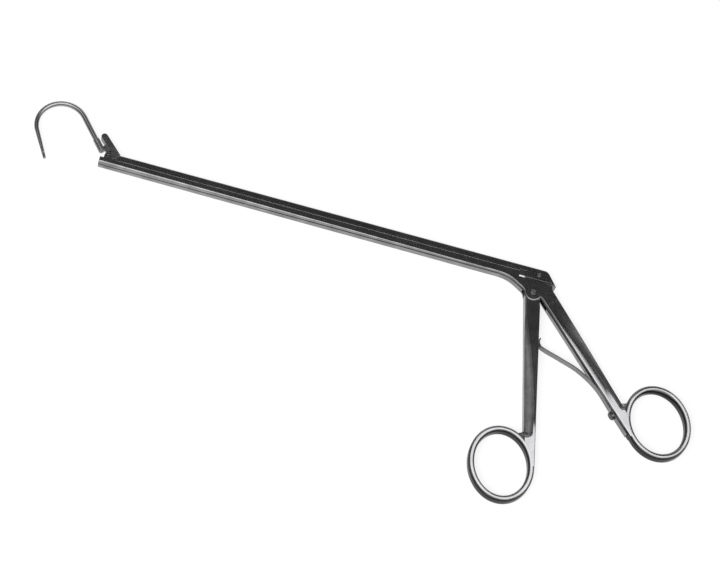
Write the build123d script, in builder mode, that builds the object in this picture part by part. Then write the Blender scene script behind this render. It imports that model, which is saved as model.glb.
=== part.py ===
from build123d import *
import os
from math import cos, degrees, radians, sin, sqrt

# Ligature carrier with ring handles, in forged stainless steel.
# It lies on its side: shaft along X with the hook at -X, handles towards -Y, thickness along Z.
# The origin is on the handle pivot's axis, on the surface that the instrument lies on.

# Stock and fits
stock = 5.2               # thickness of the forging, shaft and handles alike
side_gap = 0.05           # each side of a tang, tongue or fork that moves in a slot
pin_gap = 0.05            # round a pin or screw that something turns on
slide_gap = 0.04          # between the slide and what it runs on
cut_over = 1.0            # cuts run this far past the metal

# Squeeze of the handles, and what it drives
squeeze_angle = 18.0      # turn of the front handle, degrees
hook_swing = 54.0         # turn of the hook for that squeeze, degrees
drive_height = 8.8        # drive screw above the handle pivot
drive_offset = 0.96       # drive screw ahead of the pivot along X, at rest
slide_travel = drive_height * radians(squeeze_angle)

# Shaft
shaft_bottom = 5.5        # height in Y of the shaft's lower face above the pivot, at the tip
shaft_bottom_rear = 5.3   # and where the bar meets the housing
seam = 8.6                # height of the parting line between bar and slide
shaft_top = 11.65
shaft_top_rear = 11.95
hook_pivot_x = -192.4     # hook pivot, along the shaft
hook_pivot_y = 9.86
tip_overhang = 3.2        # bar beyond the hook pivot
shaft_root = -22.0        # where the bar runs into the housing
tip_round = 1.4           # lower corners of the bar at the tip, and at the housing
root_round = 0.5
tip_x = hook_pivot_x - tip_overhang
slide_heel_x = 4.6        # where the slide's top turns down to its tail
tail_tip = (9.3, 5.75)
tail_back = 7.6           # under the tail, and where the deep block begins
block_back = 7.2
heel_round = 3.0
tongue_round = 0.9
slide_top_round = 0.8
fork_front_gap = 0.24     # between the slide's cheeks and the ears when the slide is forward
fork_slot_back = 1.8      # the carrier's slots end this far behind the drive pin

# T-shaped lugs that hold the slide down, and their drop-in pockets
lug_length = 12.0
front_lug_x = -170.0      # tip end of each lug
rear_lug_x = -40.0
lug_neck = 1.6
lug_head = 3.0
lug_neck_height = 0.7
lug_head_height = 0.8

# Housing with its two cheeks
nose_radius = 3.75
tang = 2.2                # thickness of the lever's tang between the cheeks
window_length = 2.9       # see-through gap ahead of the slide's deep block, which limits its travel
window_front = -7.5
window_floor = 5.9
window_roof = 9.4
block_seam = 6.5          # underside of the slide's deep rear block
tail_floor = 5.45         # housing below the slide's tail
mortise_front = -5.0
mortise_along = 9.0       # how far the slot for the tang runs down the rear handle
mortise_depth = 2.6
mortise_back = 2.6        # behind the drive screw
mortise_heel = 4.0
mortise_step = 0.9        # its front wall steps back between these two heights
mortise_step_top = 1.5
mortise_step_foot = -0.5
belly_points = ((-10.5, 4.1), (-5.9, 1.5))  # on the housing's underside
belly_end = 195           # where it meets the nose, degrees round the pivot
housing_reach = 5.0       # how far the housing runs into the rear handle
housing_inset = 1.0       # and how far inside its edges
shoulder_step = 0.3
tail_floor_x = 5.0        # floor below the tail, and the end of the floor below the block
block_floor_x = 4.2

# Tang: round the pivot and the drive screw, its root in the front handle, and its relief
tang_radius = 3.2
tang_tip_radius = 1.75
tang_root_along = 7.0
tang_root_length = 1.0
tang_root_sink = 0.4
tang_pocket = 6.6         # length of the slide's pocket for it
tang_pocket_rise = 1.95   # above the drive screw
tang_pocket_shift = 0.3
nose_gap = 0.12
relief_gap = 0.25
relief_along = 9.0
relief_back = 6.0
drive_slot_play = 0.3
drive_slot_gap = 0.06

# Handles: heading in the XY plane, offset of the inner edge from the pivot, and the ring's place
front_heading = -81.0
front_edge = 3.39
front_ring_along = 80.7
front_ring_axis = 104.6
front_ring_short = 12.8   # half of the ring's short axis, on its centre line
rear_heading = -46.9
rear_edge = 1.82
rear_start = 2.2          # start of the rear handle, from the pivot
rear_ring_along = 76.0
rear_ring_axis = 113.6
rear_ring_short = 13.05
bar_width = 6.85          # at the pivot
bar_taper = 0.0275        # width lost per millimetre towards the ring
bar_edge_round = 0.7
# Ball-nosed hollow in each broad face of a handle. Down the handle, each row gives the distance
# from the pivot, the rim left along the inner edge, half of the hollow's width and its depth.
front_flute = ((6.0, 7.0, 1.5, 0.7), (20.0, 4.5, 2.7, 0.9), (38.0, 2.2, 3.6, 0.9), (65.2, 1.1, 2.9, 1.0))
rear_flute = ((8.0, 0.5, 3.4, 0.03), (29.0, 1.6, 3.0, 0.4), (45.0, 2.6, 2.6, 0.7), (62.9, 3.0, 1.9, 0.8))
ring_long = 15.7          # half of a ring's long axis, on its centre line
ring_band = 2.7           # band width, seen from the side
ring_neck = 1.8           # fillet where a handle's outer edge meets the ring
ring_sink = 0.08          # the bar's inner edge lies this far inside the ring's band
crotch_inset = 2.0        # the crotch lies about this far inside the ring's reach

# Screws and pins
pivot_screw_radius = 0.8
pivot_head_radius = 1.1
drive_screw_radius = 0.7
drive_head_radius = 0.93
screw_head_depth = 0.7
screw_head_proud = 0.15   # heads stand above the face, with a rounded rim
screw_head_round = 0.2
screw_slot_width = 0.3
screw_slot_depth = 0.3
screw_cover = 0.5         # metal left under a screw's blind end
hook_pin_radius = 0.55
drive_pin_radius = 0.5

# Leaf spring
leaf = 0.6
leaf_width = 3.4
leaf_screw_along = 63.8   # screw and last contact, measured down the rear handle
leaf_lift_along = 50.0
leaf_foot = 10.6          # leaf beyond its screw
leaf_bow = ((39.8, 2.6), (31.7, 6.8))  # points down the rear handle, and their clearance from it
leaf_clear = 0.04
leaf_tip_along = 20.8     # curled end, measured down the front handle
leaf_bend_along = 24.8
leaf_bend_rise = 1.0
leaf_heel = 1.8           # length of the bend onto the front handle
leaf_flat = 1.2           # and of the curl at the end, with its height
leaf_curl = 0.5
leaf_screw_radius = 1.0
leaf_head_radius = 1.9
leaf_head_height = 1.4
leaf_screw_depth = 3.4
leaf_head_round = 0.7
leaf_slot_width = 0.5
leaf_slot_depth = 0.6

# Hook carrier
ear = 1.0                 # thickness of each ear at the shaft's tip
ear_radius = 1.55
ear_sink = 0.3            # ears run this far into the bar
ear_slot_depth = 2.2      # slot between them, below the hook pivot
ear_slot_back = 1.4       # and behind the drive pin
ear_slot_front = 0.1
fork = 0.7                # thickness of each cheek of the carrier's fork
hub_radius = 1.5
arm_radius = 1.4          # half the arm's width
arm_top = (-3.9, 9.34)    # points from here on are measured from the hook pivot
arm_base = (3.7, 1.64)
drive_pin_back = 4.36     # drive pin behind the hook pivot, at rest
drive_pin_rise = 0.75     # and above it
tongue_radius = 0.95
cam_wall = 0.65           # metal round the cam slot, and at its belly
cam_belly_wall = 0.5
tongue_slot = (12.0, 10.0)  # cut for the slide's tongue, and its shift along the shaft
tongue_slot_shift = 2.0
fork_roof = 1.9           # top of the fork's slot above the hook pivot
foot_end = (-3.7, 2.9)
foot_apex = (-2.0, 5.0)
foot_root = (-0.2, 2.0)
foot_radius = 0.85
foot_neck_radius = 0.8
foot_step = 0.6           # the foot is this much thinner than the arm, on each side

# Hook: from the shank's end inside the collar round the bend, and the headings of shank and leg
shank_end = (-3.36198, 2.85106)  # from the hook pivot
bend_radius = 10.84
shank_heading = 129.9
leg_heading = 298.8
shank_length = 17.9       # from the bend to its end
leg_length = 13.7
shank_radius = 1.15
bend_wire_radius = 0.95   # wire at the end of the bend
tip_radius = 0.62
collar_length = 6.0
collar_radius = 1.42
eye_radius = 0.35
eye_from_tip = 3.0
eye_flat = 1.2            # thickness left where the wire is flattened round the eye

# Heights in Z of the layers inside the shaft and housing
mid = stock / 2
tang_low = mid - tang / 2
slot_low = tang_low - side_gap
slot_width = tang + 2 * side_gap
fork_low = ear + side_gap
tongue_low = fork_low + fork + side_gap
tongue = stock - 2 * tongue_low


def along_bar(heading, along, across):
    """Point of the XY plane, measured along and across a handle that leaves the pivot."""
    h = radians(heading)
    return (along * cos(h) - across * sin(h), along * sin(h) + across * cos(h))


def turned(point, angle):
    a = radians(angle)
    return (point[0] * cos(a) - point[1] * sin(a), point[0] * sin(a) + point[1] * cos(a))


def outer_edge(edge, outward, along):
    return edge + outward * (bar_width - bar_taper * along)


def ring_centre(heading, edge, outward, ring_along, ring_axis, ring_short):
    """The ring lies outside the handle, and the inner edge runs into it as a tangent."""
    lean = radians(ring_axis - heading)
    reach = sqrt((ring_long * sin(lean)) ** 2 + (ring_short * cos(lean)) ** 2)
    across = edge + outward * (reach + ring_band / 2 - ring_sink)
    return along_bar(heading, ring_along, across)


def ring_handle(heading, edge, outward, start, ring, flute):
    """One handle: tapered bar with rounded edges, hollow on both broad faces, and its finger ring."""
    ring_along, ring_axis, ring_short = ring
    centre = ring_centre(heading, edge, outward, *ring)
    ahead = along_bar(heading, outward, 0)
    outwards = along_bar(heading, 0, outward)
    with BuildPart() as hollow:
        for along, rim, half_width, depth in flute:
            rim_point = (*along_bar(heading, along, edge + outward * rim), stock)
            with BuildSketch(Plane(origin=rim_point, x_dir=(*outwards, 0), z_dir=(*ahead, 0))):
                with BuildLine():
                    ThreePointArc((0, 0), (half_width, -depth), (2 * half_width, 0))
                    Polyline((2 * half_width, 0), (2 * half_width, 1), (0, 1), (0, 0))
                make_face()
        loft()
        ball = (half_width**2 + depth**2) / (2 * depth)
        nose_place = along_bar(heading, along, edge + outward * (rim + half_width))
        with Locations((*nose_place, stock - depth + ball)):
            Sphere(ball)
    with BuildPart() as handle:
        with BuildSketch() as bar:
            with BuildLine():
                Polyline(
                    along_bar(heading, start, edge),
                    along_bar(heading, ring_along, edge),
                    along_bar(heading, ring_along, outer_edge(edge, outward, ring_along)),
                    along_bar(heading, start, outer_edge(edge, outward, start)),
                    close=True,
                )
            make_face()
        extrude(amount=stock)
        long_edges = handle.edges().filter_by(lambda e: e.length > ring_along / 2)
        fillet(long_edges, bar_edge_round)
        # Filled neck between the bar's outer edge and the ring, then the hollows run out into it
        with BuildSketch(Plane.XY.offset(ring_band / 4)) as neck:
            with Locations(centre):
                Ellipse(
                    ring_long + ring_band / 2, ring_short + ring_band / 2, rotation=ring_axis
                )
            add(bar.sketch_local)
            crotch_guess = along_bar(
                heading, ring_along - ring_long + crotch_inset, outer_edge(edge, outward, ring_along)
            )
            corner = neck.vertices().sort_by_distance(crotch_guess)[0]
            spot = (corner.X, corner.Y)
            fillet(corner, ring_neck)
            with Locations(spot):
                Circle(1.6 * ring_neck, mode=Mode.INTERSECT)
        extrude(amount=stock - ring_band / 2)
        with BuildSketch():
            with Locations(centre):
                Ellipse(ring_long, ring_short, rotation=ring_axis)
        extrude(amount=stock, mode=Mode.SUBTRACT)
        add(hollow.part, mode=Mode.SUBTRACT)
        mirror(hollow.part, about=Plane.XY.offset(mid), mode=Mode.SUBTRACT)
        with BuildLine(Plane.XY.offset(mid)) as band:
            EllipticalCenterArc(centre, ring_long, ring_short, 0, arc_size=360, rotation=ring_axis)
        with BuildSketch(Plane(origin=band.line @ 0, x_dir=(0, 0, 1), z_dir=band.line % 0)):
            SlotOverall(stock, ring_band)
        sweep(path=band.line)
    return handle.part


rear_ring = (rear_ring_along, rear_ring_axis, rear_ring_short)
front_ring = (front_ring_along, front_ring_axis, front_ring_short)
rear_half = ring_handle(rear_heading, rear_edge, 1, rear_start, rear_ring, rear_flute)
front_half = ring_handle(front_heading, front_edge, -1, 0.0, front_ring, front_flute)

drive_point = (drive_offset, drive_height)
hook_pivot = (hook_pivot_x, hook_pivot_y)


def from_hook_pivot(offset):
    return (hook_pivot_x + offset[0], hook_pivot_y + offset[1])


drive_pin = from_hook_pivot((drive_pin_back, drive_pin_rise))
crotch_along = sqrt(nose_radius**2 - rear_edge**2)
crotch = along_bar(rear_heading, crotch_along, rear_edge)
shoulder = along_bar(rear_heading, rear_start, outer_edge(rear_edge, 1, rear_start))

# Housing between shaft and rear handle, rounded along its underside and its nose
with BuildPart() as housing:
    with BuildSketch():
        with BuildLine():
            belly = Spline(
                (shaft_root, shaft_bottom_rear),
                *belly_points,
                turned((nose_radius, 0), belly_end),
                tangents=((1, 0), turned((0, 1), belly_end)),
            )
            nose = ThreePointArc(belly @ 1, (0, -nose_radius), crotch)
            Polyline(
                nose @ 1,
                along_bar(rear_heading, housing_reach, rear_edge + housing_inset),
                along_bar(
                    rear_heading,
                    housing_reach,
                    outer_edge(rear_edge, 1, housing_reach) - housing_inset,
                ),
                shoulder,
                (shoulder[0] - shoulder_step, tail_floor),
                (tail_floor_x, tail_floor),
                (block_floor_x, block_seam - slide_gap),
                (window_front + window_length, block_seam - slide_gap),
                (window_front + window_length, window_floor),
                (window_front, window_floor),
                (window_front, seam),
                (shaft_root, seam),
                (shaft_root, shaft_bottom_rear),
            )
        make_face()
    extrude(amount=stock)
    fillet(housing.edges().filter_by(GeomType.BSPLINE), root_round)

# Fixed half: lower bar of the shaft, housing, rear handle and thumb ring, one forging
with BuildPart() as handle_frame:
    for x, bottom, corner in (
        (tip_x, shaft_bottom, tip_round),
        (shaft_root, shaft_bottom_rear, root_round),
    ):
        with BuildSketch(Plane.YZ.offset(x)) as section:
            with Locations(((bottom + seam) / 2, mid)):
                Rectangle(seam - bottom, stock)
            fillet(section.vertices().group_by(Axis.X)[0], corner)
    loft()
    add(housing.part)
    add(rear_half)
    # Slot between the cheeks, open to the slide above and to the lever below
    with BuildSketch(Plane.XY.offset(slot_low)):
        with BuildLine():
            Polyline(
                (mortise_front, seam),
                (mortise_front, mortise_step_top),
                (mortise_front + mortise_step, mortise_step_foot),
                (mortise_front + mortise_step, -2 * nose_radius),
                along_bar(rear_heading, mortise_along, -cut_over),
                along_bar(rear_heading, mortise_along, rear_edge + mortise_depth),
                along_bar(rear_heading, 0, rear_edge + mortise_depth),
                (drive_offset + mortise_back, mortise_heel),
                (drive_offset + mortise_back, seam),
                close=True,
            )
        make_face()
    extrude(amount=slot_width, mode=Mode.SUBTRACT)
    # Pivot screw: counterbored in the near cheek, threaded into the far one
    with Locations((0, 0, stock)):
        CounterBoreHole(
            pivot_screw_radius, pivot_head_radius + side_gap, screw_head_depth, stock - screw_cover
        )
    # T-shaped lugs
    for lug_x in (front_lug_x, rear_lug_x):
        with BuildSketch(Plane.YZ.offset(lug_x)):
            with Locations((seam + lug_neck_height / 2, mid)):
                Rectangle(lug_neck_height, lug_neck)
            with Locations((seam + lug_neck_height + lug_head_height / 2, mid)):
                Rectangle(lug_head_height, lug_head)
        extrude(amount=lug_length)
    # Ears for the hook pivot, and the slot between them
    with BuildSketch() as ears:
        with Locations(hook_pivot):
            Circle(ear_radius)
        with Locations((hook_pivot_x, (seam + hook_pivot_y) / 2 - ear_sink)):
            Rectangle(2 * ear_radius, hook_pivot_y - seam + 2 * ear_sink)
    extrude(amount=stock)
    with BuildSketch(Plane.XY.offset(ear)):
        with BuildLine():
            Polyline(
                (hook_pivot_x - ear_radius - ear_slot_front, shaft_top + cut_over),
                (hook_pivot_x - ear_radius - ear_slot_front, hook_pivot_y - ear_slot_depth),
                (drive_pin[0] + ear_slot_back, hook_pivot_y - ear_slot_depth),
                (drive_pin[0] + ear_slot_back, shaft_top + cut_over),
                close=True,
            )
        make_face()
    extrude(amount=stock - 2 * ear, mode=Mode.SUBTRACT)
    with Locations((*hook_pivot, stock)):
        Hole(hook_pin_radius)
    # Threaded hole for the spring's screw
    leaf_seat = along_bar(rear_heading, leaf_screw_along, rear_edge)
    leaf_axis = along_bar(rear_heading, 0, 1)
    with BuildSketch(Plane(origin=(*leaf_seat, mid), z_dir=(*leaf_axis, 0))):
        Circle(leaf_screw_radius)
    extrude(amount=leaf_screw_depth, mode=Mode.SUBTRACT)
handle_frame.part.label = "handle_frame"

# Slide: upper half of the shaft, deeper at the rear, with a tongue at the tip
slide_front = hook_pivot_x + ear_radius + slide_travel + fork_front_gap
tongue_tip = drive_pin[0] - tongue_radius
pocket_top = drive_height + tang_pocket_rise
slot_root = drive_pin[0] + fork_slot_back
with BuildPart() as slide_bar:
    with BuildSketch() as profile:
        with BuildLine():
            Polyline(
                (tongue_tip, seam + slide_gap),
                (tongue_tip, shaft_top),
                (slide_heel_x, shaft_top_rear),
                tail_tip,
                (tail_back, tail_tip[1]),
                (block_back, block_seam),
                (window_front + window_length, block_seam),
                (window_front + window_length, window_roof),
                (window_front, window_roof),
                (window_front, seam + slide_gap),
                close=True,
            )
        make_face()
        fillet(profile.vertices().sort_by_distance((slide_heel_x, shaft_top_rear))[0], heel_round)
        fillet(profile.vertices().sort_by_distance((tongue_tip, shaft_top))[0], tongue_round)
    extrude(amount=stock)
    top_edges = slide_bar.edges().filter_by(lambda e: e.length > 150).group_by(Axis.Y)[-1]
    fillet(top_edges, slide_top_round)
    # Fork at the tip: outer cheeks end first, then the slots for the carrier, then the tongue
    with BuildSketch() as cheek_ends:
        with BuildLine():
            Polyline(
                (tongue_tip - cut_over, seam - cut_over),
                (slide_front, seam - cut_over),
                (slide_front, shaft_top + cut_over),
                (tongue_tip - cut_over, shaft_top + cut_over),
                close=True,
            )
        make_face()
    extrude(amount=tongue_low, mode=Mode.SUBTRACT)
    with BuildSketch(Plane.XY.offset(stock)):
        add(cheek_ends.sketch_local)
    extrude(amount=-tongue_low, mode=Mode.SUBTRACT)
    for z in (ear, stock - tongue_low):
        with BuildSketch(Plane.XY.offset(z)):
            with Locations(((slide_front + slot_root) / 2, (seam + shaft_top) / 2)):
                Rectangle(slot_root - slide_front + 0.02, shaft_top - seam + 2 * cut_over)
        extrude(amount=tongue_low - ear, mode=Mode.SUBTRACT)
    # T-slots over the lugs, each with the pocket through which the lug drops in
    for lug_x in (front_lug_x, rear_lug_x):
        with BuildSketch(Plane.YZ.offset(lug_x - slide_gap)):
            with Locations((seam + lug_neck_height / 2, mid)):
                Rectangle(lug_neck_height + 2 * slide_gap, lug_neck + 2 * slide_gap)
            with Locations((seam + lug_neck_height + lug_head_height / 2, mid)):
                Rectangle(lug_head_height + 2 * slide_gap, lug_head + 2 * slide_gap)
        extrude(amount=lug_length + slide_travel + 3 * slide_gap, mode=Mode.SUBTRACT)
        with BuildSketch(Plane.YZ.offset(lug_x - lug_length - 3 * slide_gap)):
            with Locations((seam + (lug_neck_height + lug_head_height) / 2, mid)):
                Rectangle(
                    lug_neck_height + lug_head_height + 2 * slide_gap, lug_head + 2 * slide_gap
                )
        extrude(amount=lug_length + 3 * slide_gap, mode=Mode.SUBTRACT)
    # Pocket for the top of the tang, and the drive screw's hole
    with BuildSketch(Plane.XY.offset(slot_low)):
        with Locations((drive_offset - tang_pocket_shift, (block_seam + pocket_top - cut_over) / 2)):
            Rectangle(tang_pocket, pocket_top - block_seam + cut_over)
    extrude(amount=slot_width, mode=Mode.SUBTRACT)
    with Locations((*drive_point, stock)):
        CounterBoreHole(
            drive_screw_radius, drive_head_radius + side_gap, screw_head_depth, stock - screw_cover
        )
    with Locations((*drive_pin, stock)):
        Hole(drive_pin_radius)
slide_bar.part.label = "slide_bar"

# Front handle: lever with its finger ring, and the tang that works between the cheeks
relief_heading = rear_heading - squeeze_angle
tang_root_start = tang_root_along - tang_root_length


def root_outer(along):
    return outer_edge(front_edge, -1, along) + tang_root_sink


with BuildPart() as front_handle:
    add(front_half)
    for z in (0, stock - tang_low):
        with BuildSketch(Plane.XY.offset(z)):
            Circle(nose_radius + nose_gap)
            with BuildLine():
                Polyline(
                    along_bar(relief_heading, -relief_back, rear_edge - relief_gap),
                    along_bar(relief_heading, relief_along, rear_edge - relief_gap),
                    along_bar(relief_heading, relief_along, rear_edge + relief_back),
                    along_bar(relief_heading, -relief_back, rear_edge + relief_back),
                    close=True,
                )
            make_face()
        extrude(amount=tang_low, mode=Mode.SUBTRACT)
    with BuildSketch(Plane.XY.offset(tang_low)):
        Circle(tang_radius)
        with Locations(drive_point):
            Circle(tang_tip_radius)
        make_hull()
    extrude(amount=tang)
    with BuildSketch(Plane.XY.offset(tang_low)) as tang_root:
        Circle(tang_radius)
        with BuildLine():
            Polyline(
                along_bar(front_heading, tang_root_along, front_edge - tang_root_sink),
                along_bar(front_heading, tang_root_along, root_outer(tang_root_along)),
                along_bar(front_heading, tang_root_start, root_outer(tang_root_start)),
                along_bar(front_heading, tang_root_start, front_edge - tang_root_sink),
                close=True,
            )
        make_face()
        make_hull()
    extrude(amount=tang)
    with Locations((0, 0, stock)):
        Hole(pivot_screw_radius + pin_gap)
    with BuildSketch(Plane.XY.offset(tang_low)):
        with Locations(drive_point):
            SlotOverall(
                2 * (drive_screw_radius + pin_gap) + drive_slot_play,
                2 * (drive_screw_radius + pin_gap) + drive_slot_gap,
                rotation=90,
            )
    extrude(amount=tang, mode=Mode.SUBTRACT)
front_handle.part.label = "front_handle"

# Slotted screws through the housing and the slide
for name, place, shank, head in (
    ("handle_pivot_screw", (0, 0), pivot_screw_radius, pivot_head_radius),
    ("slide_drive_screw", drive_point, drive_screw_radius, drive_head_radius),
):
    with BuildPart() as screw:
        with BuildSketch(Plane.XY.offset(screw_cover)):
            with Locations(place):
                Circle(shank)
        extrude(amount=stock - screw_cover - screw_head_depth)
        with BuildSketch(Plane.XY.offset(stock - screw_head_depth)):
            with Locations(place):
                Circle(head)
        extrude(amount=screw_head_depth + screw_head_proud)
        fillet(screw.edges().group_by(Axis.Z)[-1], screw_head_round)
        with BuildSketch(Plane.XY.offset(stock + screw_head_proud)):
            with Locations(place):
                Rectangle(3 * head, screw_slot_width, rotation=35)
        extrude(amount=-screw_slot_depth, mode=Mode.SUBTRACT)
    screw.part.label = name
    if name == "handle_pivot_screw":
        handle_pivot_screw = screw
    else:
        slide_drive_screw = screw

# Leaf spring: flat on the rear handle, bowed across to the front handle, its end curled away
leaf_across = rear_edge - leaf_clear - leaf / 2
touch = front_edge + leaf_clear + leaf / 2
with BuildPart() as leaf_spring:
    with BuildSketch(Plane.XY.offset(mid - leaf_width / 2)):
        with BuildLine() as leaf_line:
            foot = Line(
                along_bar(rear_heading, leaf_screw_along + leaf_foot, leaf_across),
                along_bar(rear_heading, leaf_lift_along, leaf_across),
            )
            bow = Spline(
                foot @ 1,
                *[along_bar(rear_heading, along, leaf_across - away) for along, away in leaf_bow],
                along_bar(front_heading, leaf_bend_along, touch + leaf_bend_rise),
                tangents=(foot % 1, (-0.957, 0.29)),
            )
            heel = Spline(
                bow @ 1,
                along_bar(front_heading, leaf_bend_along - leaf_heel, touch),
                tangents=(bow % 1, along_bar(front_heading, -1, 0)),
            )
            flat = Line(heel @ 1, along_bar(front_heading, leaf_tip_along + leaf_flat, touch))
            Spline(
                flat @ 1,
                along_bar(front_heading, leaf_tip_along, touch + leaf_curl),
                tangents=(flat % 1, along_bar(front_heading, -1, 1)),
            )
        trace(leaf_line.line, leaf)
    extrude(amount=leaf_width)
    with BuildSketch(Plane(origin=(*leaf_seat, mid), z_dir=(*leaf_axis, 0)).offset(-2)):
        Circle(leaf_screw_radius + pin_gap)
    extrude(amount=4, mode=Mode.SUBTRACT)
leaf_spring.part.label = "leaf_spring"

# Screw of the leaf spring, with a domed slotted head
head_seat = Plane(origin=(*leaf_seat, mid), z_dir=(-leaf_axis[0], -leaf_axis[1], 0))
with BuildPart() as spring_screw:
    with BuildSketch(head_seat.offset(-leaf_screw_depth)):
        Circle(leaf_screw_radius)
    extrude(amount=leaf_screw_depth + leaf + 2 * leaf_clear)
    with BuildSketch(head_seat.offset(leaf + 2 * leaf_clear)):
        Circle(leaf_head_radius)
    extrude(amount=leaf_head_height)
    rim_edge = spring_screw.edges().filter_by(GeomType.CIRCLE).sort_by(
        Axis(head_seat.origin, head_seat.z_dir)
    )[-1]
    fillet(rim_edge, leaf_head_round)
    with BuildSketch(head_seat.offset(leaf + 2 * leaf_clear + leaf_head_height)):
        Rectangle(3 * leaf_head_radius, leaf_slot_width)
    extrude(amount=-leaf_slot_depth, mode=Mode.SUBTRACT)
spring_screw.part.label = "spring_screw"

# Hook carrier: fork with the cam slots, the arm above it and the foot that holds the hook
def cam_point(travel):
    """Drive pin as the carrier sees it, when the slide has moved by travel."""
    turn = -hook_swing * travel / slide_travel
    return from_hook_pivot(turned((drive_pin_back - travel, drive_pin_rise), turn))


with BuildPart() as hook_carrier:
    with BuildSketch(Plane.XY.offset(fork_low)):
        with Locations(hook_pivot):
            Circle(hub_radius)
        with Locations(drive_pin):
            Circle(drive_pin_radius + cam_wall)
        with Locations(cam_point(0.75 * slide_travel)):
            Circle(drive_pin_radius + cam_belly_wall)
        make_hull()
    extrude(amount=stock - 2 * fork_low)
    with BuildSketch(Plane.XY.offset(fork_low)):
        with Locations(from_hook_pivot(arm_top), from_hook_pivot(arm_base)):
            Circle(arm_radius)
        make_hull()
    extrude(amount=stock - 2 * fork_low)
    # Foot: up from the hub along the arm, then down to the hook's collar
    for start, end, radius in (
        (foot_root, foot_apex, foot_neck_radius),
        (foot_apex, foot_end, foot_radius),
    ):
        with BuildSketch(Plane.XY.offset(fork_low + foot_step)):
            with Locations(from_hook_pivot(start), from_hook_pivot(end)):
                Circle(radius)
            make_hull()
        extrude(amount=stock - 2 * (fork_low + foot_step))
    with BuildSketch(Plane.XY.offset(fork_low + fork)):
        with Locations(
            (hook_pivot_x + tongue_slot_shift, hook_pivot_y + fork_roof - tongue_slot[1] / 2)
        ):
            Rectangle(*tongue_slot)
    extrude(amount=tongue + 2 * side_gap, mode=Mode.SUBTRACT)
    with BuildSketch(Plane.XY.offset(fork_low)) as cam:
        with BuildLine() as cam_line:
            Spline(*[cam_point(slide_travel * step / 6) for step in range(7)])
        trace(cam_line.line, 2 * (drive_pin_radius + pin_gap))
        with Locations(cam_point(0), cam_point(slide_travel)):
            Circle(drive_pin_radius + pin_gap)
    extrude(amount=stock, mode=Mode.SUBTRACT)
    with Locations((*hook_pivot, stock)):
        Hole(hook_pin_radius + pin_gap)
hook_carrier.part.label = "hook_carrier"

# Hook: round wire, bent and tapered, with a collar brazed to the foot and an eye near the tip
with BuildLine(Plane.XY.offset(mid)) as hook_line:
    shank = PolarLine(from_hook_pivot(shank_end), shank_length, shank_heading)
    bend = CenterArc(
        shank @ 1 + turned((bend_radius, 0), shank_heading + 90),
        bend_radius, shank_heading - 90, leg_heading - shank_heading
    )
    shank_start = shank @ 0
    leg_end = bend @ 1 + (bend % 1) * leg_length
with BuildPart() as hook_needle:
    with BuildLine(Plane.XY) as wire_path:
        Line(shank_start, bend @ 0)
        add(bend)
        Line(bend @ 1, leg_end)
    stations = (
        (shank_start, bend % 0, shank_radius),
        (bend @ 0, bend % 0, shank_radius),
        (bend @ 1, bend % 1, bend_wire_radius),
        (leg_end, bend % 1, tip_radius),
    )
    for place, way, radius in stations:
        with BuildSketch(Plane(origin=place, x_dir=(0, 0, 1), z_dir=way)):
            Circle(radius)
    sweep(path=wire_path.line, multisection=True)
    with Locations(leg_end):
        Sphere(tip_radius)
    with BuildSketch(Plane(origin=shank_start, x_dir=(0, 0, 1), z_dir=bend % 0)):
        Circle(collar_radius)
    extrude(amount=collar_length)
    eye_place = leg_end - (bend % 1) * (eye_from_tip - tip_radius)
    for face, way in ((mid + eye_flat / 2, 1), (mid - eye_flat / 2, -1)):
        with BuildSketch(Plane.XY.offset(face)):
            with Locations((eye_place.X, eye_place.Y)):
                Rectangle(2 * eye_from_tip, 4 * tip_radius, rotation=leg_heading)
        extrude(amount=way * shank_radius, mode=Mode.SUBTRACT)
    with Locations((eye_place.X, eye_place.Y, stock)):
        Hole(eye_radius)
    # The foot of the carrier is let into the collar
    add(hook_carrier.part, mode=Mode.SUBTRACT)
hook_needle.part.label = "hook_needle"

# Pins at the tip
with BuildPart() as hook_pivot_pin:
    with BuildSketch():
        with Locations(hook_pivot):
            Circle(hook_pin_radius)
    extrude(amount=stock)
hook_pivot_pin.part.label = "hook_pivot_pin"

with BuildPart() as hook_drive_pin:
    with BuildSketch(Plane.XY.offset(fork_low)):
        with Locations(drive_pin):
            Circle(drive_pin_radius)
    extrude(amount=stock - 2 * fork_low)
hook_drive_pin.part.label = "hook_drive_pin"

os.makedirs("parts", exist_ok=True)
export_step(handle_frame.part, "parts/handle_frame.step")
export_step(slide_bar.part, "parts/slide_bar.step")
export_step(front_handle.part, "parts/front_handle.step")
export_step(handle_pivot_screw.part, "parts/handle_pivot_screw.step")
export_step(slide_drive_screw.part, "parts/slide_drive_screw.step")
export_step(leaf_spring.part, "parts/leaf_spring.step")
export_step(spring_screw.part, "parts/spring_screw.step")
export_step(hook_carrier.part, "parts/hook_carrier.step")
export_step(hook_needle.part, "parts/hook_needle.step")
export_step(hook_pivot_pin.part, "parts/hook_pivot_pin.step")
export_step(hook_drive_pin.part, "parts/hook_drive_pin.step")
print("slide travel", round(slide_travel, 3), "mm; eye at", round(eye_place.X, 3), round(eye_place.Y, 3))
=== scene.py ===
import math

import bmesh
import bpy
from mathutils import Matrix, Vector


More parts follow.
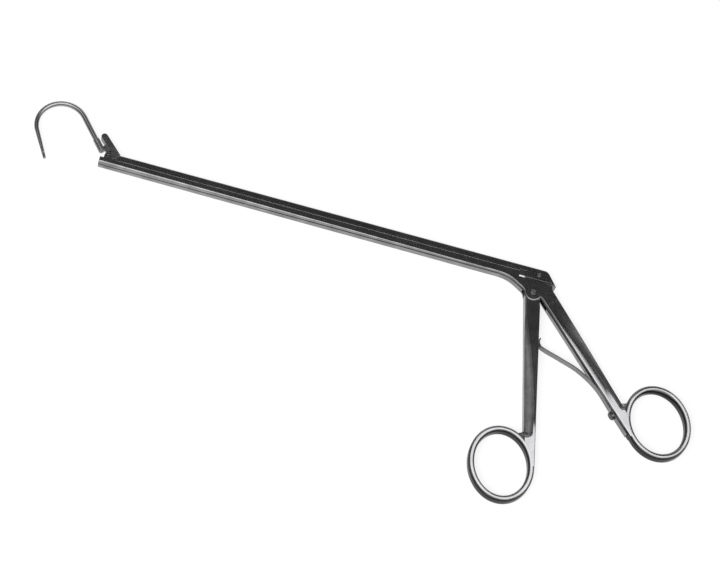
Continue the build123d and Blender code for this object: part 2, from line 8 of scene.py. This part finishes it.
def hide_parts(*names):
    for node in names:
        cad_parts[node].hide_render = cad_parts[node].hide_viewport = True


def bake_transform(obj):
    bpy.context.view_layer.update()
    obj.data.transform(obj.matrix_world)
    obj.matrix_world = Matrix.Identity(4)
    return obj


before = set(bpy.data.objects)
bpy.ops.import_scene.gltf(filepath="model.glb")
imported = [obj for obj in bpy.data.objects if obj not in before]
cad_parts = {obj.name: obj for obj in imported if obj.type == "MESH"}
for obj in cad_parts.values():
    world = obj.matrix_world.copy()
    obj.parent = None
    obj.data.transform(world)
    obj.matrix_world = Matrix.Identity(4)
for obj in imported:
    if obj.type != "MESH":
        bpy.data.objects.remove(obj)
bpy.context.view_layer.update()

# Handle frame: the fixed half of the instrument, one drop forging of stainless steel with the
# shaft's lower bar, the pivot housing, the rear handle and its ring. The bars are ground along
# the shaft, the hollow is dulled with glass beads, and the ring's crest is polished by hand. Its
# crests are painted paler as a highlight, and the walls of its ring and window get painted shade.
MM = 0.001
mid_plane = 2.6
rear_heading = -46.9
# The opening right through the housing, ahead of the slide's block, whose walls get painted shade
window = {"X": (-7.7, -4.4), "Y": (5.7, 9.6)}
# Millimetres from the handle pivot, and degrees from +X. The arris is how far the bar's inner edge
# stands off the line through the pivot, and the polish with its painted highlight and the web set
# in down that line
rear_handle = {
    "heading": rear_heading,
    "arris": 1.82,
    "polish_and_highlight": (14.0, 34.0),
    "web": (50.0, 60.0),
    "ring_centre": (63.95, -44.24),
    "ring_heading": 113.6,
    "ring_halves": (15.7, 13.05),
    "highlight_fainter_at_ends": 0.75,
}


def colour(hex_code):
    """Linear RGBA from an sRGB hex colour."""
    parts = [int(hex_code[i:i + 2], 16) / 255 for i in (0, 2, 4)]
    linear = [p / 12.92 if p <= 0.04045 else ((p + 0.055) / 1.055) ** 2.4 for p in parts]
    return (*linear, 1.0)


def fresh_tree(owner):
    """Empty node tree of a material or a world."""
    owner.use_nodes = True
    owner.node_tree.nodes.clear()
    return owner.node_tree


def add(tree, kind, *feeds, **settings):
    """Adds a node. Feeds go into its open inputs in order. Settings are its properties, or inputs
    by name with _ for a space. An input takes a value, a socket or a node's first open output."""
    node = tree.nodes.new("ShaderNode" + kind)
    properties = [name for name in settings if hasattr(node, name)]
    for name in properties:
        setattr(node, name, settings.pop(name))
    fed = list(zip([socket for socket in node.inputs if socket.enabled], feeds))
    fed += [(node.inputs[name.replace("_", " ")], value) for name, value in settings.items()]
    for socket, value in fed:
        if isinstance(value, bpy.types.Node):
            value = next(output for output in value.outputs if output.enabled)
        if isinstance(value, bpy.types.NodeSocket):
            tree.links.new(value, socket)
        else:
            socket.default_value = value
    return node


# A range with this setting eases in and out between its two levels
soft = {"interpolation_type": "SMOOTHSTEP"}


def ease_walls(tree, place, tilt, steep, normal):
    """Leans the walls that face -Y upward in their upper half, where the belt has eased the arris.
    The easing runs out down the handles, at the height of the rear ring."""
    eased_from, eased_full, lean = 2.3, 4.5, 1.15
    turned_from, turned_full = -0.15, -0.45
    runs_out, full_above = -34.0, -28.0
    front = add(tree, "MapRange", tilt.outputs["Y"], turned_from, turned_full, **soft)
    front = add(tree, "Math", steep, front, operation="MULTIPLY")
    rise = add(tree, "MapRange", place.outputs["Z"], eased_from, eased_full, 0.0, lean, **soft)
    above = add(tree, "MapRange", place.outputs["Y"], runs_out, full_above, **soft)
    front = add(tree, "Math", front, above, operation="MULTIPLY")
    upward = add(tree, "CombineXYZ", Z=add(tree, "Math", rise, front, operation="MULTIPLY"))
    eased = add(tree, "VectorMath", normal, upward, operation="ADD")
    return add(tree, "VectorMath", eased, operation="NORMALIZE")


def handle_areas(tree, mm, place, steep, handle):
    """Where a handle is ring, where it is polished and painted paler as a highlight, and where it is
    blasted, each from 0 to 1.
    """
    # The ring, as an ellipse that reaches 1 on the middle of its band
    ring_outside, ring_edge = 1.20, 1.13
    ends_from, ends_full = 0.70, 0.98
    local = add(tree, "VectorMath", mm, (*handle["ring_centre"], 0), operation="SUBTRACT")
    flat = add(tree, "VectorMath", local, (1, 1, 0), operation="MULTIPLY")
    level = add(tree, "VectorRotate", flat, rotation_type="Z_AXIS",
                Angle=-math.radians(handle["ring_heading"]))
    half_long, half_short = handle["ring_halves"]
    unit = add(tree, "VectorMath", level, (1 / half_long, 1 / half_short, 1), operation="MULTIPLY")
    reach = add(tree, "VectorMath", unit, operation="LENGTH")
    ring = add(tree, "MapRange", reach, ring_outside, ring_edge, **soft)
    # The polish and its painted highlight lie on the two crests only: a line beside the arris, the
    # web and the ring. The highlight is painted fainter at the ring's two long ends
    crest_from, crest_full = 2.42, 2.56
    line_outside, line_inside = 2.6, 0.3
    heading = math.radians(handle["heading"])
    ahead = (math.cos(heading), math.sin(heading), 0)
    aside = (-math.sin(heading), math.cos(heading), 0)
    down = add(tree, "VectorMath", mm, ahead, operation="DOT_PRODUCT")
    beyond = add(tree, "MapRange", down, *handle["polish_and_highlight"], **soft)
    height = add(tree, "Math", place.outputs["Z"], mid_plane, operation="SUBTRACT")
    height = add(tree, "Math", height, operation="ABSOLUTE")
    crest = add(tree, "MapRange", height, crest_from, crest_full, **soft)
    off = add(tree, "VectorMath", mm, aside, operation="DOT_PRODUCT")
    off = add(tree, "Math", off, handle["arris"], operation="SUBTRACT")
    kept = add(tree, "MapRange", off, line_outside, line_inside, **soft)
    web = add(tree, "MapRange", down, *handle["web"], **soft)
    kept = add(tree, "Math", kept, web, operation="MAXIMUM")
    kept = add(tree, "Math", kept, ring, operation="MAXIMUM")
    lengthwise = add(tree, "SeparateXYZ", unit).outputs["X"]
    lengthwise = add(tree, "Math", lengthwise, operation="ABSOLUTE")
    fainter_highlight = add(tree, "MapRange", lengthwise, ends_from, ends_full, 0.0, handle["highlight_fainter_at_ends"], **soft)
    fainter_highlight = add(tree, "Math", ring, fainter_highlight, operation="MULTIPLY")
    fainter_highlight = add(tree, "Math", 1.0, fainter_highlight, operation="SUBTRACT")
    kept = add(tree, "Math", kept, fainter_highlight, operation="MULTIPLY")
    polished_and_highlit = add(tree, "Math", beyond, crest, operation="MULTIPLY")
    polished_and_highlit = add(tree, "Math", polished_and_highlit, kept, operation="MULTIPLY")
    # Glass beads dull what lies deeper than the crests, from below the housing on
    beads_from, beads_full = 10.0, 26.0
    blasted = add(tree, "MapRange", down, beads_from, beads_full, **soft)
    for untouched in (crest, steep):
        rest = add(tree, "Math", 1.0, untouched, operation="SUBTRACT")
        blasted = add(tree, "Math", blasted, rest, operation="MULTIPLY")
    return ring, polished_and_highlit, blasted


def steel(name, base, dark, rough, grain, line=0.9, window=None, handle=None):
    """Ground stainless steel. Fine lines along the grain draw its reflections out, and scratches,
    pits and water stains break them up, while painted shade darkens its corners. Line is the
    depth of the lines."""
    mat = bpy.data.materials.new(name)
    tree = fresh_tree(mat)
    mm = add(tree, "VectorMath", add(tree, "TexCoord").outputs["Object"], 1 / MM, operation="SCALE")
    along = add(tree, "VectorRotate", mm, rotation_type="Z_AXIS", Angle=-math.radians(grain))

    # Grinding lines, drawn about three times as coarse as the belt leaves them, so that they show
    grind_length, grind_width = 4.5, 0.11
    per_mm = (1 / grind_length, 1 / grind_width, 1 / grind_width)
    stretched = add(tree, "VectorMath", along, per_mm, operation="MULTIPLY")
    lines = add(tree, "TexNoise", stretched, Scale=1.0, Detail=4.0, Roughness=0.6)
    # Scratches from washing and handling, which cross the grain
    scratch_length, scratch_width, scratch_turn = 6.0, 0.3, 0.9
    per_mm = (1 / scratch_length, 1 / scratch_width, 1 / scratch_width)
    crossing = add(tree, "VectorRotate", along, rotation_type="Z_AXIS", Angle=scratch_turn)
    stretched = add(tree, "VectorMath", crossing, per_mm, operation="MULTIPLY")
    scratches = add(tree, "TexNoise", stretched, Scale=1.0, Detail=2.0, Distortion=0.4)
    scratch = add(tree, "MapRange", scratches, From_Min=0.665, From_Max=0.72)
    # Pits up to 0.2 mm wide, about a dozen to the square centimetre
    pit_spacing, pit_rim, pit_floor = 1.25, 0.10, 0.06
    cells = add(tree, "TexVoronoi", mm, Scale=1 / pit_spacing, Randomness=1.0)
    pit = add(tree, "MapRange", cells, From_Min=pit_rim, From_Max=pit_floor)
    # Water stains, and the finer mottle of the blasted skin
    stain_width, mottle_width = 6.25, 0.6
    stain = add(tree, "TexNoise", mm, Scale=1 / stain_width, Detail=3.0, Distortion=0.6)
    mottle = add(tree, "TexNoise", mm, Scale=1 / mottle_width, Detail=5.0, Roughness=0.65)
    # Painted shade in the corners, where the steel shades itself, and wear on edges
    corner_reach, corner_shade_depth, worn_radius = 1.2, 0.5, 0.22
    corner = add(tree, "AmbientOcclusion", samples=6, Distance=corner_reach * MM)
    painted_corner_shade = add(tree, "MapRange", corner.outputs["AO"], From_Min=0.85, From_Max=0.35, To_Max=corner_shade_depth)
    rounded = add(tree, "Bevel", samples=6, Radius=worn_radius * MM)
    true_normal = add(tree, "NewGeometry").outputs["Normal"]
    facing = add(tree, "VectorMath", rounded, true_normal, operation="DOT_PRODUCT")
    edge = add(tree, "MapRange", facing, From_Min=0.995, From_Max=0.90)

    # How far the colour goes from base to dark
    stain_shade, mottle_shade = 0.45, 0.35
    shade = add(tree, "MapRange", stain, From_Min=0.35, From_Max=0.75, To_Max=stain_shade)
    shade = add(tree, "Math", mottle, mottle_shade, shade, operation="MULTIPLY_ADD")
    # Painted corner shade darkens the colour, as the pits do
    for pattern in (painted_corner_shade, pit):
        shade = add(tree, "Math", shade, pattern, operation="MAXIMUM")
    shade = add(tree, "Math", shade, 1.0, operation="MINIMUM")
    # What each pattern adds to the roughness
    grit = add(tree, "MapRange", lines, From_Min=0.3, From_Max=0.7,
               To_Min=rough - 0.04, To_Max=rough + 0.05)
    for pattern, amount in ((stain, 0.06), (painted_corner_shade, 0.1), (scratch, 0.05), (edge, -0.04)):
        grit = add(tree, "Math", pattern, amount, grit, operation="MULTIPLY_ADD")

    place = add(tree, "SeparateXYZ", mm)
    tilt = add(tree, "SeparateXYZ", rounded)
    upright = add(tree, "Math", tilt.outputs["Z"], operation="ABSOLUTE")
    lying, standing = 0.80, 0.45
    steep = add(tree, "MapRange", upright, lying, standing, **soft)
    normal, skin = rounded, mottle
    if handle:
        normal = ease_walls(tree, place, tilt, steep, normal)
        ring, polished_and_highlit, blasted = handle_areas(tree, mm, place, steep, handle)
        # Painted highlight: the crests' colour is made paler, towards the base colour
        highlight_lift, bead_grit, bead_relief = -0.7, 0.10, 1.5
        highlight_paling = add(tree, "Math", polished_and_highlit, highlight_lift, 1.0, operation="MULTIPLY_ADD")
        shade = add(tree, "Math", shade, highlight_paling, operation="MULTIPLY")
        grit = add(tree, "Math", blasted, bead_grit, grit, operation="MULTIPLY_ADD")
        relief = add(tree, "Math", blasted, bead_relief, 1.0, operation="MULTIPLY_ADD")
        skin = add(tree, "Math", mottle, relief, operation="MULTIPLY")
        # The wheel flattens the crests and leans them a little to the front
        wheel_lean = (0, -0.42, 1.8)
        lean = add(tree, "VectorMath", wheel_lean, polished_and_highlit, operation="SCALE")
        leaning = add(tree, "VectorMath", normal, lean, operation="ADD")
        normal = add(tree, "VectorMath", leaning, operation="NORMALIZE")

    tone = add(tree, "Mix", shade, colour(base), colour(dark), data_type="RGBA")
    if window:
        # Painted shade: the walls inside the window are coloured dark, where shadow falls
        inside = steep
        for axis, (low, high) in window.items():
            for operation, limit in (("GREATER_THAN", low), ("LESS_THAN", high)):
                within = add(tree, "Math", place.outputs[axis], limit, operation=operation)
                inside = add(tree, "Math", inside, within, operation="MULTIPLY")
        tone = add(tree, "Mix", inside, tone, colour("303031"), data_type="RGBA")
    if handle:
        # Painted shade: the ring's walls are coloured dark, for the shadowed table they mirror
        ring_wall_shade = add(tree, "Math", ring, steep, operation="MULTIPLY")
        tone = add(tree, "Mix", ring_wall_shade, tone, colour("363637"), data_type="RGBA")

    # Relief: height, strength, depth in millimetres, and whether it is sunk
    reliefs = ((lines, 0.35, 0.012 * line, False), (skin, 0.4, 0.03 * line, False),
               (scratch, 0.2, 0.01, True), (pit, 0.12, 0.02, True))
    for height, strength, depth, sunk in reliefs:
        normal = add(tree, "Bump", Strength=strength, Distance=depth * MM, invert=sunk,
                     Height=height, Normal=normal)
    shader = add(tree, "BsdfPrincipled", Metallic=1.0, Anisotropic=0.3,
                 Base_Color=tone, Roughness=grit, Normal=normal)
    add(tree, "OutputMaterial", Surface=shader)
    return mat


def wear(node, mat):
    """Gives a CAD node its finish."""
    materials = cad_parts[node].data.materials
    materials.clear()
    materials.append(mat)


wear("handle_frame", steel("frame steel", "B8B8BA", "6C6B6A", rough=0.16, grain=0.0, window=window,
                           handle=rear_handle))

# Slide: the upper half of the shaft, planed from stainless bar and ground together with the lower
# bar, so that one streak of light runs along both. Its rear block closes the back of the window.
wear("slide_bar", steel("slide steel", "B0B0B3", "626262", rough=0.15, grain=0.0, window=window))

# Front handle: the moving lever, a second forging hung on the pivot screw. It is ground along the
# handle, and its hollow and its ring are finished as on the rear one, with the same painted
# highlight and painted shade.
front_heading = -81.0
front_handle = {
    "heading": front_heading,
    "arris": 3.39,
    "polish_and_highlight": (59.0, 66.0),
    "web": (59.0, 66.0),
    "ring_centre": (2.05, -81.38),
    "ring_heading": 104.6,
    "ring_halves": (15.7, 12.8),
    "highlight_fainter_at_ends": 0.3,
}
wear("front_handle", steel("lever steel", "B8B8BA", "6A6A69", rough=0.17, grain=front_heading,
                           handle=front_handle))

# Slotted screws of the pivot, the slide and the spring: turned from stainless bar. Their lines are
# shallower than the forgings', and the spring's screw, low between the handles, is coloured darker.
for screw in ("handle_pivot_screw", "slide_drive_screw"):
    wear(screw, steel(screw + " steel", "B8B8BA", "5E5E5E", rough=0.18, grain=35.0, line=0.6))
wear("spring_screw", steel("spring screw steel", "7E7E80", "404041", rough=0.22, grain=35.0, line=0.6))

# Leaf spring: rolled strip of spring steel, bent, tempered to a duller grey than the handles and
# screwed to the rear one. Its curled end slides on the front one, so the strip bends in a squeeze.
leaf, leaf_width, leaf_round = 0.58, 3.36, 0.1
leaf_on_rear, leaf_on_front = 1.48, 3.73
# How far down a handle the strip is, and how far it stands off that handle's side
beside_rear = [(74.35, 0.0), (62.0, 0.0), (50.0, 0.0), (39.8, -2.6), (31.7, -6.8)]
beside_front = [(24.8, 1.0), (23.0, 0.0), (22.0, 0.0), (20.85, 0.48)]
bend_step = 0.5


def down_handle(heading, along, across):
    """Point in metres, measured in millimetres from the pivot along and across a handle."""
    ahead = Vector((math.cos(math.radians(heading)), math.sin(math.radians(heading)), 0))
    aside = Vector((-ahead.y, ahead.x, 0))
    return (ahead * along + aside * across) * MM


bends = [down_handle(rear_heading, along, leaf_on_rear + off) for along, off in beside_rear]
bends += [down_handle(front_heading, along, leaf_on_front + off) for along, off in beside_front]
# A smooth curve through the bends, which leaves each in the direction of its two neighbours
curve = []
for i in range(len(bends) - 1):
    before, a, b = bends[max(i - 1, 0)], bends[i], bends[i + 1]
    after = bends[min(i + 2, len(bends) - 1)]
    span = (b - a).length
    slope_a = (b - before).normalized() * span
    slope_b = (after - a).normalized() * span
    steps = max(4, int(span / (bend_step * MM)))
    for k in range(steps):
        t = k / steps
        curve.append(a * (2 * t**3 - 3 * t**2 + 1) + slope_a * (t**3 - 2 * t**2 + t)
                     + b * (3 * t**2 - 2 * t**3) + slope_b * (t**3 - t**2))
curve.append(bends[-1])
# The strip's section: its thickness lies across the curve, its width upright
half, high, cut = leaf / 2 * MM, leaf_width / 2 * MM, leaf_round * MM
corners = [(-half + cut, -high), (half - cut, -high), (half, -high + cut), (half, high - cut),
           (half - cut, high), (-half + cut, high), (-half, high - cut), (-half, -high + cut)]
strip = bmesh.new()
rows = []
for i, point in enumerate(curve):
    way = (curve[min(i + 1, len(curve) - 1)] - curve[max(i - 1, 0)]).normalized()
    side = Vector((way.y, -way.x, 0))
    middle = point + Vector((0, 0, mid_plane * MM))
    rows.append([strip.verts.new(middle + side * s + Vector((0, 0, z))) for s, z in corners])
for first, second in zip(rows, rows[1:]):
    for k in range(len(corners)):
        following = (k + 1) % len(corners)
        strip.faces.new((first[k], first[following], second[following], second[k]))
strip.faces.new(rows[0])
strip.faces.new(rows[-1])
bmesh.ops.recalc_face_normals(strip, faces=strip.faces)
mesh = bpy.data.meshes.new("spring_leaf")
strip.to_mesh(mesh)
strip.free()
mesh.materials.append(steel("spring steel", "A6A6A8", "606060", rough=0.24, grain=-47.0, line=0.7))
spring_leaf = bpy.data.objects.new("spring_leaf", mesh)
scene = bpy.context.scene
scene.collection.objects.link(spring_leaf)
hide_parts("leaf_spring")
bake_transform(spring_leaf)

# Hook carrier: a forged stainless arm on the hook's pivot, with the foot that holds the hook. Its
# two pins are cut from wire, riveted over and ground flush, and look a shade darker.
wear("hook_carrier", steel("carrier steel", "B0B0B2", "5A5A5A", rough=0.23, grain=135.0))
for pin, finish in (("hook_pivot_pin", "pivot pin steel"), ("hook_drive_pin", "drive pin steel")):
    wear(pin, steel(finish, "909092", "4E4E4E", rough=0.2, grain=20.0))

# Hook: tapered stainless wire, bent over a former, flattened round the eye and held in the
# carrier's foot by its collar. It is polished by hand, which leaves it the palest piece.
wear("hook_needle", steel("hook steel", "C6C6C8", "747474", rough=0.24, grain=110.0))

# Table top: plain and pale, with a faint shadow. The camera sees it as good as white, and in the
# steel's mirrors it is a little darker.
seen_level, mirrored_change = 0.80, -0.26
middle_x = -0.07
bpy.ops.mesh.primitive_plane_add(size=4.0, location=(middle_x, 0, 0))
floor = bpy.context.object
floor.name = "table top"
mat = bpy.data.materials.new("table top")
tree = fresh_tree(mat)
path = add(tree, "LightPath")
seen = add(tree, "Math", path.outputs["Is Camera Ray"], path.outputs["Is Glossy Ray"], operation="MAXIMUM")
level = add(tree, "Math", path.outputs["Is Glossy Ray"], mirrored_change, seen_level,
            operation="MULTIPLY_ADD")
glow = add(tree, "Emission", Color=colour("FFFFFF"), Strength=level)
shadowed = add(tree, "BsdfDiffuse", Color=colour("959595"))
shown = add(tree, "AddShader", glow, shadowed)
plain = add(tree, "BsdfDiffuse", Color=colour("E1E1E1"))
add(tree, "OutputMaterial", Surface=add(tree, "MixShader", seen, plain, shown))
floor.data.materials.append(mat)

# Room: white to the camera, plain grey as light. In mirrors it has a bright ceiling that fades to
# the front and the left, a dark band behind that, a pale wall low behind and a dim glow on the left.
# A light is a row of soft edges: the axis of the direction, where the edge starts and ends on it,
# and the levels there.
room_lights = (
    (("Y", 0.30, 0.12, 0.0, 2.4), ("Y", -0.5, -0.05, 0.40, 1.0), ("Z", 0.40, 0.78, 0.0, 1.0),
     ("X", -0.60, -0.10, 0.15, 1.0)),
    (("Y", 0.74, 0.92, 0.0, 0.62),),
    (("X", -0.12, -0.32, 0.0, 0.34), ("X", -0.70, -0.40, 0.0, 1.0)),
)
dim_level, light_level, white_level = 0.072, 0.55, 1.0
world = bpy.data.worlds.new("room")
scene.world = world
tree = fresh_tree(world)
way = add(tree, "SeparateXYZ", add(tree, "TexCoord").outputs["Generated"])
brightest = 0.0
for edges in room_lights:
    level = 1.0
    for axis, edge_from, edge_to, outside, inside in edges:
        edge = add(tree, "MapRange", way.outputs[axis], edge_from, edge_to, outside, inside, **soft)
        level = add(tree, "Math", level, edge, operation="MULTIPLY")
    brightest = add(tree, "Math", brightest, level, operation="MAXIMUM")
mirrored = add(tree, "Background", Strength=add(tree, "Math", brightest, dim_level, operation="ADD"))
light = add(tree, "Background", Color=colour("FFFFFF"), Strength=light_level)
white = add(tree, "Background", Color=colour("FFFFFF"), Strength=white_level)
path = add(tree, "LightPath")
unseen = add(tree, "MixShader", path.outputs["Is Glossy Ray"], light, mirrored)
add(tree, "OutputWorld", Surface=add(tree, "MixShader", path.outputs["Is Camera Ray"], unseen, white))

# Soft box above and in front, which is not seen in mirrors.
lamp = bpy.data.lights.new("soft box", "AREA")
lamp.shape = "RECTANGLE"
lamp.size = 0.9
lamp.size_y = 0.6
lamp.energy = 9.0
box = bpy.data.objects.new("soft box", lamp)
scene.collection.objects.link(box)
box.visible_glossy = False
box.location = (-0.55, -0.75, 0.95)
box.rotation_euler = (Vector((middle_x, 0, 0)) - box.location).to_track_quat("-Z", "Y").to_euler()

# Camera, looking down on the lying instrument and turned clockwise as in the photo, whose scale
# sets the lens.
azimuth, elevation, roll = math.radians(-5.0), math.radians(63.0), math.radians(19.65)
target = Vector((-73.262, -15.708, 0.0)) * MM
distance, sensor_width = 1.1, 36.0
photo_width, pixels_per_mm = 720, 2.3256
back = Vector((math.sin(azimuth) * math.cos(elevation), -math.cos(azimuth) * math.cos(elevation),
               math.sin(elevation)))
right = Vector((math.cos(azimuth), math.sin(azimuth), 0.0))
up = back.cross(right)
turned_right = right * math.cos(roll) + up * math.sin(roll)
turned_up = up * math.cos(roll) - right * math.sin(roll)
lens = bpy.data.cameras.new("camera")
lens.sensor_width = sensor_width
lens.lens = pixels_per_mm * distance / MM * sensor_width / photo_width
lens.clip_end = 10.0
camera = bpy.data.objects.new("camera", lens)
scene.collection.objects.link(camera)
camera.matrix_world = Matrix.Translation(target + back * distance) @ Matrix(
    (turned_right, turned_up, back)).transposed().to_4x4()
scene.camera = camera

scene.view_settings.view_transform = "Standard"
